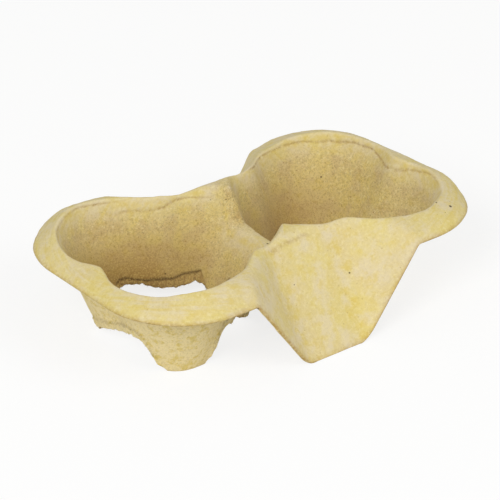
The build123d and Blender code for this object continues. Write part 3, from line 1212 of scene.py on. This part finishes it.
@dataclass
class CarrierSheet:
    """The one pressed sheet, trimmed round the flange and torn open at the feet.

    Heights of ripples, the lip's flare and the grooves' depths are displacements of the
    upper face along its own normals.
    """

    form: SheetForm = field(default_factory=SheetForm)
    arches: Arches = Arches()
    creases: tuple[RimCrease, ...] = RIM_CREASES
    thickness: float = 1.6
    # Edges of the triangles, and how far each fine zone reaches
    spacing: float = 2.4
    longest_edge: float = 3.0
    shortest_edge: float = 0.95
    bend_weight: float = 5.0
    crease_zone: float = 1.6
    least_strength: float = 0.02
    lip_zone: tuple[float, float, float] = (0.5, 3.0, 1.5)
    rim_width: float = 1.0
    passes: int = 3
    edge_margin: float = 2.0
    # The torn lower edge, calmer at the left end, and the panels' worn foot
    tear: Ripples = ((5.0, 1.0, 7), (1.7, 0.6, 8))
    tear_depth: float = 1.1
    calm_end: Ramp = Ramp(-66.0, -72.0)
    calm_share: float = 0.7
    opening: Ramp = Ramp(0.0, 4.0)
    foot_wear: float = 0.35
    panel_edge: Ramp = Ramp(-0.5, 0.5)
    panel_foot: float = 0.35
    panel_wear: Ripples = ((6.0, 0.15, 9),)
    # The lips that fold away from the walls above the torn edge
    lip_width: float = 5.0
    least_lip: float = 2.0
    lip_sway: Ripples = ((9.0, 0.8, 16), (3.2, 0.35, 7))
    far_left_lip_top: float = 12.7
    far_left_lip_tilt: Profile = ((-54, 0.0), (-43, -0.8), (-31, -0.6), (-24, 0.8), (-17, 3.0))
    far_left_lip_share: float = 0.78
    # Creases, the dark line painted as shade where the lips fold, and the line that the trimming press left
    crown_crease: Track = (
        (-21.0, -36.5, 0.0), (-18.0, -35.6, 0.8), (-6.4, -35.0, 0.8), (3.7, -34.8, 0.6), (11.0, -35.5, 0.0),
    )
    crown_crease_wander: Ripples = ((4.0, 0.4, 7),)
    crown_crease_width: float = 0.6
    rim_crease_share: float = 0.8
    crown_crease_share: float = 0.6
    lip_fold_shade_width: float = 0.55
    bevel_inset: float = 3.0
    bevel_width: float = 0.6
    bevel_sway: Ripples = ((12.0, 0.5, 7),)
    # Where the walls are browner and darker, partly their own colour and partly painted shade, and how far
    # below the rim
    wall: Ramp = Ramp(3.0, 15.0)
    brown_and_shaded_patches: Bumps = ((7, 17, 8, 0.8), (9, 6, 7, 0.5), (1, 19, 5, 0.7), (4, 25, 5, 0.3))
    low_darkening: Ramp = Ramp(8.0, 42.0)
    low_darkening_base: float = 0.2
    low_darkening_patches: Bumps = (
        (-60, 36, 26, 0.55), (-36, 34, 16, 0.3), (14, 20, 18, 0.25), (8, -6, 16, 0.3),
        (48, 36, 20, 0.5), (92, 0, 30, -0.2),
    )
    light_grain_fades_by: float = 0.35
    grain_on_flange: float = 0.3
    grain_under: float = 0.5
    # Reaches of the other traits
    arched: Ramp = Ramp(1.0, 6.0)
    lip_fold: Ramp = Ramp(-0.5, 0.2)
    rim_start: Ramp = Ramp(-0.5, 1.0)
    rim_end: Ramp = Ramp(2.5, 6.0)
    valley_start: Ramp = Ramp(-1.0, 4.0)
    flange_start: Ramp = Ramp(2.0, 8.0)
    roll_fade: Ramp = Ramp(3.0, 9.0)
    roll_edge: Ramp = Ramp(2.6, 3.4)
    roll_fade_share: float = 0.4
    fold_rise: float = 3.0
    fold_width: float = 6.0
    bevel_gold: float = 0.7
    cut_reach: Ramp = Ramp(0.0, 1.1)
    cut_share: float = 0.6
    torn_opening: Ramp = Ramp(1.0, 2.5)
    torn_reach: Ramp = Ramp(0.2, 1.2)
    trimmed_inset: float = 1.0
    # Displacements
    waviness: Ripples = ((19.0, 0.22, 11), (8.0, 0.11, 12), (2.6, 0.12, 13))
    depths: tuple[tuple[Trait, float], ...] = (
        (Trait.GROOVE_AND_SHADE, 0.6), (Trait.LIP, 1.1), (Trait.DARK_BROWN_AND_SHADE, 0.7), (Trait.BEVEL, 0.25),
    )
    shreds: Ripples = ((1.3, 0.5, 17),)
    shred_stretch: tuple[float, float, float] = (1, 1, 0.45)
    uneven_thickness: Ripples = ((9.0, 0.1, 14),)
    edge_bulge: float = 0.3
    lip_fold_shade_under: float = 0.45
    torn_points: Array = field(init=False, repr=False)
    torn_faces: list[list[int]] = field(init=False, repr=False)

    def arch_profile(self, places: Array) -> Array:
        """Height up to which the wall is open over each place, zero at the feet."""
        return self.arches.height(self.form, self.thickness, places)

    def lower_edge(self, places: Array) -> Array:
        """Finds the torn lower edge.

        Args:
            places: Rows of x and y.

        Returns:
            Height of the edge over each place.
        """
        profile = self.arch_profile(places)
        tear = waves(places, self.tear)
        open_share = self.opening.at(profile)
        raggedness = self.tear_depth * (1 - self.calm_share * self.calm_end.at(places[:, 0]))
        worn = self.foot_wear * (1 + tear)
        return profile + raggedness * (open_share * tear + (1 - open_share) * worn)

    def panel_share(self, places: Array) -> Array:
        """One where the place lies on a side panel, zero on the pockets' walls."""
        return self.panel_edge.at(self.form.pocket(*places.T) - self.form.valley(*places.T))

    def lip_top(self, places: Array, profile: Array) -> Array:
        """Finds where the torn lip folds away from the wall.

        Args:
            places: Rows of x and y.
            profile: Height of the opening over each place.

        Returns:
            Height of the fold over each place.
        """
        x, y = places.T
        reach = self.form.pockets[0].foot_reach * self.far_left_lip_share
        far_left = (x < 0) & (y > self.arches.side_wall_from) & (x > -reach)
        fold = self.far_left_lip_top + table_at(self.far_left_lip_tilt, x)
        fold = np.maximum(profile + self.least_lip, fold)
        return np.where(far_left, fold, profile + self.lip_width) + waves(places, self.lip_sway)

    def rim_depth(self, places: Array) -> Array:
        """Finds how far each place is below the pocket's rim.

        Args:
            places: Rows of x and y.

        Returns:
            The depth of each place.
        """
        x, y = places.T
        form = self.form
        outer = np.minimum(np.minimum(form.roof(x, y), form.valley(x, y)), form.notch(x, y))
        return outer - form.pocket(x, y)

    def edge_limits(self, heights: HeightMap, places: Array) -> Array:
        """Limits the triangles' edges: short at ridges, creases and torn lips.

        Args:
            heights: The softened form.
            places: Rows of x and y.

        Returns:
            Longest edge allowed at each place.
        """
        level = heights.levels(places)
        limit = self.longest_edge - self.bend_weight * heights.read(heights.bend, places)
        depth = self.rim_depth(places)
        for crease in self.creases:
            offset, strength = crease.offset(places, depth)
            fine = (np.abs(offset) < self.crease_zone) & (strength > self.least_strength) & (depth > 0)
            limit = np.where(fine, 0, limit)
        profile = self.arch_profile(places)
        opened, below, above = self.lip_zone
        top = self.lip_top(places, profile) + above
        torn = (profile > opened) & (level > profile - below) & (level < top)
        limit = np.where(torn & (depth > self.rim_width), 0, limit)
        return np.clip(limit, self.shortest_edge, self.longest_edge)

    def surface_mesh(self, heights: HeightMap) -> FlatMesh:
        """Makes the footprint's triangles, trimmed and torn.

        Args:
            heights: The softened form.

        Returns:
            The flat mesh.
        """
        margin = self.edge_margin
        mesh = FlatMesh.grid(HALF_LENGTH + margin, HALF_WIDTH + margin, self.spacing)
        for _ in range(self.passes):
            mesh = mesh.refined(heights, self.edge_limits(heights, mesh.places))
        mesh = mesh.clipped(self.form.inset(*mesh.places.T))
        on_panel = self.panel_share(mesh.places) > 0.5
        foot = self.panel_foot + waves(mesh.places, self.panel_wear)
        lowest = np.where(on_panel, foot, self.lower_edge(mesh.places))
        return mesh.clipped(heights.levels(mesh.places) - lowest)

    def grooves(self, places: Array, depth: Array) -> Array:
        """Finds how deep each place lies in a crease.

        Args:
            places: Rows of x and y.
            depth: How far each place is below the rim.

        Returns:
            A share for each place.
        """
        x, y = places.T
        groove = np.zeros(len(places))
        for crease in self.creases:
            offset, strength = crease.offset(places, depth)
            groove = np.maximum(groove, self.rim_crease_share * strength * bell(offset, crease.width))
        line_x, line_y, strengths = np.array(self.crown_crease).T
        strength = np.interp(x, line_x, strengths, left=0, right=0)
        across = y - np.interp(x, line_x, line_y) - waves(places, self.crown_crease_wander)
        line = strength * bell(across, self.crown_crease_width)
        return np.maximum(groove, self.crown_crease_share * line)

    def traits(self, heights: HeightMap, places: Array, level: Array) -> dict[Trait, Array]:
        """Works out the attributes of the upper face.

        Args:
            heights: The softened form.
            places: Rows of x and y.
            level: Height of each place.

        Returns:
            One array of shares for each trait.
        """
        x, y = places.T
        form = self.form
        depth = self.rim_depth(places)
        inset = form.inset(x, y)
        profile = self.arch_profile(places)
        above_fold = level - self.lip_top(places, profile)
        wall = np.maximum(self.wall.at(depth), bumps(x, y, self.brown_and_shaded_patches))
        # Darker low in the pockets: partly browner pulp, partly painted shade
        low_darkening = self.low_darkening.at(depth) * (self.low_darkening_base + bumps(x, y, self.low_darkening_patches))
        arched = self.arched.at(profile) * wall
        floor, flank = form.valley_faces(x, y)
        valley = form.valley(x, y)
        on_valley = (1 - wall) * self.valley_start.at(form.roof(x, y) - valley)
        on_flange = self.flange_start.at(valley - level) * (1 - wall)
        sway = waves(places, self.bevel_sway)
        bevel = on_flange * bell(inset - self.bevel_inset - sway, self.bevel_width)
        fold = on_valley * bell(floor - flank - self.fold_rise, self.fold_width)
        fading = self.roll_fade_share * (1 - self.roll_fade.at(inset))
        torn = self.torn_opening.at(profile) * (inset > self.trimmed_inset)
        return {
            Trait.WALL: wall,
            # Convex ridges, painted pale as a highlight
            Trait.RIDGE_HIGHLIGHT: np.clip(heights.read(heights.crest, places), 0, 1),
            Trait.LIP: arched * (1 - self.lip_fold.at(above_fold)),
            Trait.LOW_BROWN_AND_SHADE: low_darkening,
            Trait.GROOVE_AND_SHADE: self.grooves(places, depth),
            # The lips' fold line, grooved and painted dark as shade
            Trait.DARK_BROWN_AND_SHADE: arched * bell(above_fold, self.lip_fold_shade_width),
            Trait.RIM: self.rim_start.at(depth) * (1 - self.rim_end.at(depth)),
            Trait.ROLL: on_flange * np.maximum(fading, 1 - self.roll_edge.at(inset - sway)),
            Trait.BEVEL: bevel,
            Trait.FLANGE: on_flange,
            Trait.FOLD: np.maximum(fold, self.bevel_gold * bevel),
            Trait.CUT: self.cut_share * (1 - self.cut_reach.at(inset)),
            Trait.TORN: torn * (1 - self.torn_reach.at(level - profile)),
            Trait.UNDER: np.zeros(len(places)),
            # Light fibre clumps fade where the painted low shade is strong
            Trait.AWAY_FROM_LOW_DARKENING: np.clip(1 - low_darkening / self.light_grain_fades_by, 0, 1),
            Trait.GRAINED: (wall + self.grain_on_flange) / (1 + self.grain_on_flange),
        }

    def displaced(self, points: Array, normals: Array, traits: dict[Trait, Array]) -> Array:
        """Moves the upper face along its normals: waves, grooves, flared lips and shreds.

        Args:
            points: Rows of x, y and z.
            normals: The normal at each point.
            traits: The shares of each trait.

        Returns:
            The points in their final places.
        """
        lift = waves(points, self.waviness) - sum(depth * traits[trait] for trait, depth in self.depths)
        lift += waves(points * self.shred_stretch, self.shreds) * traits[Trait.LIP]
        return points + lift[:, None] * normals

    def write_traits(
        self, mesh: bpy.types.Mesh, traits: dict[Trait, Array], rim: Array, torn: Array
    ) -> None:
        """Stores the traits as attributes of both faces and of the edge strip.

        Args:
            mesh: The sheet's mesh.
            traits: Shares over the upper face.
            rim: Indices of the upper face's points on its edge.
            torn: One for each of those where the edge was torn, zero where it was trimmed.
        """
        count = len(traits[Trait.UNDER])
        under_shares = {
            Trait.UNDER: np.ones(count),
            # The fold's painted shade shows faintly on the outer face too
            Trait.DARK_BROWN_AND_SHADE: self.lip_fold_shade_under * traits[Trait.DARK_BROWN_AND_SHADE],
            Trait.AWAY_FROM_LOW_DARKENING: np.ones(count),
            Trait.GRAINED: np.full(count, self.grain_under),
        }
        edge_shares = {Trait.CUT: 1 - torn, Trait.TORN: torn}
        for trait, values in traits.items():
            under = under_shares.get(trait, np.zeros(count))
            edge = edge_shares.get(trait, values[rim])
            layer = mesh.attributes.new(trait.value, "FLOAT", "POINT")
            layer.data.foreach_set("value", np.concatenate([values, under, edge]))

    def build(self, material: bpy.types.Material) -> bpy.types.Object:
        """Builds the sheet as one closed mesh.

        Args:
            material: The finish of the sheet.

        Returns:
            The sheet's object.
        """
        heights = HeightMap(self.form)
        flat = self.surface_mesh(heights)
        places, count = flat.places, len(flat.places)
        level = heights.levels(places)
        traits = self.traits(heights, places, level)
        normals = heights.normals(places)
        upper = self.displaced(np.column_stack([places, level]), normals, traits)
        thickness = self.thickness * (1 + waves(upper, self.uneven_thickness))
        lower = upper - thickness[:, None] * normals

        # A strip of two rows closes the edge, its middle bulged outwards
        a, b = flat.border().T
        rim = np.unique(np.concatenate([a, b]))
        outward = np.zeros((count, 3))
        side = np.cross(upper[b] - upper[a], normals[a])
        for end in (a, b):
            np.add.at(outward, end, side)
        outward /= np.maximum(np.linalg.norm(outward, axis=1, keepdims=True), TINY)
        middle = (upper[rim] + lower[rim]) / 2 + self.edge_bulge * outward[rim]
        at_rim = np.full(count, -1)
        at_rim[rim] = 2 * count + np.arange(len(rim))
        strips = np.stack([
            np.stack([b, a, at_rim[a], at_rim[b]], axis=1),
            np.stack([at_rim[b], at_rim[a], a + count, b + count], axis=1),
        ])
        edge_faces = strips.reshape(-1, 4).tolist()
        faces = [*flat.triangles.tolist(), *(flat.triangles[:, ::-1] + count).tolist(), *edge_faces]
        corner = (HALF_LENGTH, HALF_WIDTH, CROWN_HEIGHT)
        points = np.clip(np.vstack([upper, lower, middle]), (-HALF_LENGTH, -HALF_WIDTH, 0), corner)

        profile = self.arch_profile(places)
        torn = (profile > self.arches.open_from) & (self.form.inset(*places.T) > self.trimmed_inset)
        self.torn_points = points
        self.torn_faces = strips[:, torn[a] & torn[b]].reshape(-1, 4).tolist()
        mesh = bpy.data.meshes.new("carrier_sheet")
        mesh.from_pydata((points * MM).tolist(), [], faces)
        mesh.validate()
        mesh.update()
        mesh.shade_smooth()
        self.write_traits(mesh, traits, rim, (profile[rim] > self.arches.open_from) * 1.0)
        sheet = link_object("carrier_sheet", mesh)
        mesh.materials.append(material)
        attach(sheet, "root")
        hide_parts("cup_carrier")
        return sheet


@dataclass
class TornFibres:
    """Loose wood fibres that stand out of the torn edges, scattered by Geometry Nodes.

    The density is in fibres for each square metre. A fibre bends through the shares of
    its length that its middle and its tip give, and tapers to the tip. It is drawn as
    thick as a small bundle of fibres, because a single one is too fine to show.
    """

    density: float = 1.1e6
    fibre_length: float = 1.1 * MM
    fibre_radius: float = 0.07 * MM
    shortest_share: float = 0.45
    middle_shares: tuple[float, float, float] = (0.0, 0.0, 0.55)
    tip_shares: tuple[float, float, float] = (0.45, 0.1, 0.8)
    tip_taper: float = 0.25
    lean: float = 0.8
    lowest: float = 2.5
    seed: int = 23

    def tree(self) -> Tree:
        """Builds the node tree that scatters bent, tapered fibres over a surface.

        Returns:
            The tree, with an input for the density, the length, the radius, the seed and the finish.
        """
        tree = bpy.data.node_groups.new("torn_fibres", "GeometryNodeTree")
        for name, kind in (
            ("Geometry", "Geometry"), ("Density", "Float"), ("Fibre Length", "Float"),
            ("Fibre Radius", "Float"), ("Seed", "Int"), ("Finish", "Material"),
        ):
            tree.interface.new_socket(name, in_out="INPUT", socket_type="NodeSocket" + kind)
        tree.interface.new_socket("Geometry", in_out="OUTPUT", socket_type="NodeSocketGeometry")
        given = add_node(tree, "NodeGroupInput").outputs
        seed, length = given["Seed"], given["Fibre Length"]
        spots = add_node(
            tree, "GeometryNodeDistributePointsOnFaces",
            Mesh=given["Geometry"], Density=given["Density"], Seed=seed,
        ).outputs
        lean = add_node(
            tree, "FunctionNodeRandomValue", {"data_type": "FLOAT_VECTOR"},
            i0=(-self.lean, -self.lean, 0.0), i1=(self.lean, self.lean, 2 * math.pi), Seed=seed,
        )
        turn = add_node(tree, "FunctionNodeEulerToRotation", i0=lean)
        turned = add_node(
            tree, "FunctionNodeRotateRotation", {"rotation_space": "LOCAL"}, i0=spots["Rotation"], i1=turn
        )
        middle, tip = (
            add_node(tree, "ShaderNodeVectorMath", {"operation": "SCALE"}, i0=shares, Scale=length)
            for shares in (self.middle_shares, self.tip_shares)
        )
        line = add_node(
            tree, "GeometryNodeCurveQuadraticBezier",
            Resolution=4, Start=(0.0, 0.0, 0.0), Middle=middle, End=tip,
        )
        along = add_node(tree, "GeometryNodeSplineParameter").outputs["Factor"]
        taper = add_node(tree, "ShaderNodeMapRange", i0=along, i3=1.0, i4=self.tip_taper)
        line = add_node(tree, "GeometryNodeSetCurveRadius", Curve=line, Radius=taper)
        outline = add_node(
            tree, "GeometryNodeCurvePrimitiveCircle", Resolution=4, Radius=given["Fibre Radius"]
        )
        fibre = add_node(
            tree, "GeometryNodeCurveToMesh", Curve=line, Profile_Curve=outline, Scale=taper, Fill_Caps=True
        )
        size = add_node(
            tree, "FunctionNodeRandomValue", {"data_type": "FLOAT"},
            i2=self.shortest_share, i3=1.0, Seed=seed,
        ).outputs[1]
        scattered = add_node(
            tree, "GeometryNodeInstanceOnPoints",
            Points=spots["Points"], Instance=fibre, Rotation=turned, Scale=size,
        )
        solid = add_node(tree, "GeometryNodeRealizeInstances", Geometry=scattered)
        dressed = add_node(tree, "GeometryNodeSetMaterial", Geometry=solid, Material=given["Finish"])
        add_node(tree, "NodeGroupOutput", i0=dressed)
        return tree

    def build(self, sheet: CarrierSheet, finish: bpy.types.Material) -> bpy.types.Object:
        """Scatters the fibres over the torn edges of the sheet.

        Args:
            sheet: The sheet, already built.
            finish: The fibres' material.

        Returns:
            The fibres as one mesh object.
        """
        high = [face for face in sheet.torn_faces if sheet.torn_points[face, 2].min() > self.lowest]
        used, faces = np.unique(np.array(high), return_inverse=True)
        bed = bpy.data.meshes.new("torn_edge")
        bed.from_pydata((sheet.torn_points[used] * MM).tolist(), [], faces.reshape(-1, 4).tolist())
        holder = link_object("torn_edge", bed)
        modifier = holder.modifiers.new("fibres", "NODES")
        modifier.node_group = self.tree()
        given = {
            "Density": self.density, "Fibre Length": self.fibre_length, "Fibre Radius": self.fibre_radius,
            "Seed": self.seed, "Finish": finish,
        }
        for item in modifier.node_group.interface.items_tree:
            if item.name in given:
                modifier[item.identifier] = given[item.name]
        graph = bpy.context.evaluated_depsgraph_get()
        mesh = bpy.data.meshes.new_from_object(holder.evaluated_get(graph), depsgraph=graph)
        holder.modifiers.remove(modifier)
        bpy.data.objects.remove(holder)
        mesh.name = "torn_fibres"
        fibres = link_object("torn_fibres", mesh)
        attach(fibres, "root")
        return fibres


# Studio and camera


@dataclass
class Studio:
    """Pale floor, soft lamps and an even white surround.

    Each lamp has a name, a place and a width in metres, and a power in watts.
    """

    floor_size: float = 6.0
    surround: float = 0.46
    lamps: tuple[tuple[str, tuple[float, float, float], float, float], ...] = (
        ("key", (-1.8, -0.9, 1.5), 1.1, 28.0),
        ("fill", (0.6, -1.8, 1.5), 1.4, 15.0),
    )

    def build(self, finish: StudioFloorFinish) -> None:
        """Makes the floor, the lamps and the surround.

        Args:
            finish: The floor's finish.
        """
        mesh = bpy.data.meshes.new("studio_floor")
        half = self.floor_size / 2
        corners = [(-half, -half, 0), (half, -half, 0), (half, half, 0), (-half, half, 0)]
        mesh.from_pydata(corners, [], [(0, 1, 2, 3)])
        floor = link_object("studio_floor", mesh)
        mesh.materials.append(finish.build())
        for name, place, size, power in self.lamps:
            lamp = bpy.data.lights.new(name, "AREA")
            lamp.shape, lamp.size, lamp.energy = "DISK", size, power
            holder = link_object(name, lamp)
            holder.location = place
            holder.rotation_euler = (-Vector(place)).to_track_quat("-Z", "Y").to_euler()
        world = bpy.data.worlds.new("white_surround")
        bpy.context.scene.world = world
        world.use_nodes = True
        tree = world.node_tree
        tree.nodes.clear()
        strength = add_node(tree, "ShaderNodeMapRange", i0=seen_directly(tree), i3=self.surround, i4=1.0)
        light = add_node(tree, "ShaderNodeBackground", Color=linear_colour("ffffff"), Strength=strength)
        add_node(tree, "ShaderNodeOutputWorld", Surface=light)


@dataclass
class PhotoCamera:
    """The camera at the photograph's viewing angle.

    Its place is in metres, its angles are in degrees, and its lens and sensor in millimetres.
    """

    place: tuple[float, float, float] = (-0.84760, -1.03491, 0.76345)
    turn: float = 50.739
    tilt: float = 28.777
    roll: float = 0.65
    lens: float = 221.17
    sensor: float = 36.0
    nearest: float = 0.05
    farthest: float = 50.0

    def build(self) -> bpy.types.Object:
        """Makes the camera and sets it as the scene's own.

        Returns:
            The camera.
        """
        turn, tilt, roll = (math.radians(angle) for angle in (self.turn, self.tilt, self.roll))
        ahead = Vector((math.cos(turn), math.sin(turn), 0))
        right = Vector((math.sin(turn), -math.cos(turn), 0))
        forward = ahead * math.cos(tilt) - Vector((0, 0, math.sin(tilt)))
        upward = right.cross(forward)
        side = right * math.cos(roll) + upward * math.sin(roll)
        top = upward * math.cos(roll) - right * math.sin(roll)
        lens = bpy.data.cameras.new("camera")
        lens.lens, lens.sensor_width, lens.sensor_height = self.lens, self.sensor, self.sensor
        lens.sensor_fit = "HORIZONTAL"
        lens.clip_start, lens.clip_end = self.nearest, self.farthest
        camera = link_object("camera", lens)
        turned = Matrix((side, top, -forward)).transposed().to_4x4()
        turned.translation = self.place
        camera.matrix_world = turned
        bpy.context.scene.camera = camera
        return camera


def main() -> None:
    """Builds the camera, the carrier and the studio, and reports each piece."""
    logging.basicConfig(level=logging.INFO, format="%(name)s: %(message)s")
    PhotoCamera().build()
    sheet = CarrierSheet()
    pieces = [sheet.build(MouldedPulpFinish().build())]
    pieces.append(TornFibres().build(sheet, LooseFibreFinish().build()))
    for piece in pieces:
        mesh = piece.data
        LOG.info("%s: %d points, %d faces", piece.name, len(mesh.vertices), len(mesh.polygons))
    Studio().build(StudioFloorFinish())
    view = bpy.context.scene.view_settings
    view.view_transform = "Standard"


if __name__ == "__main__":
    main()
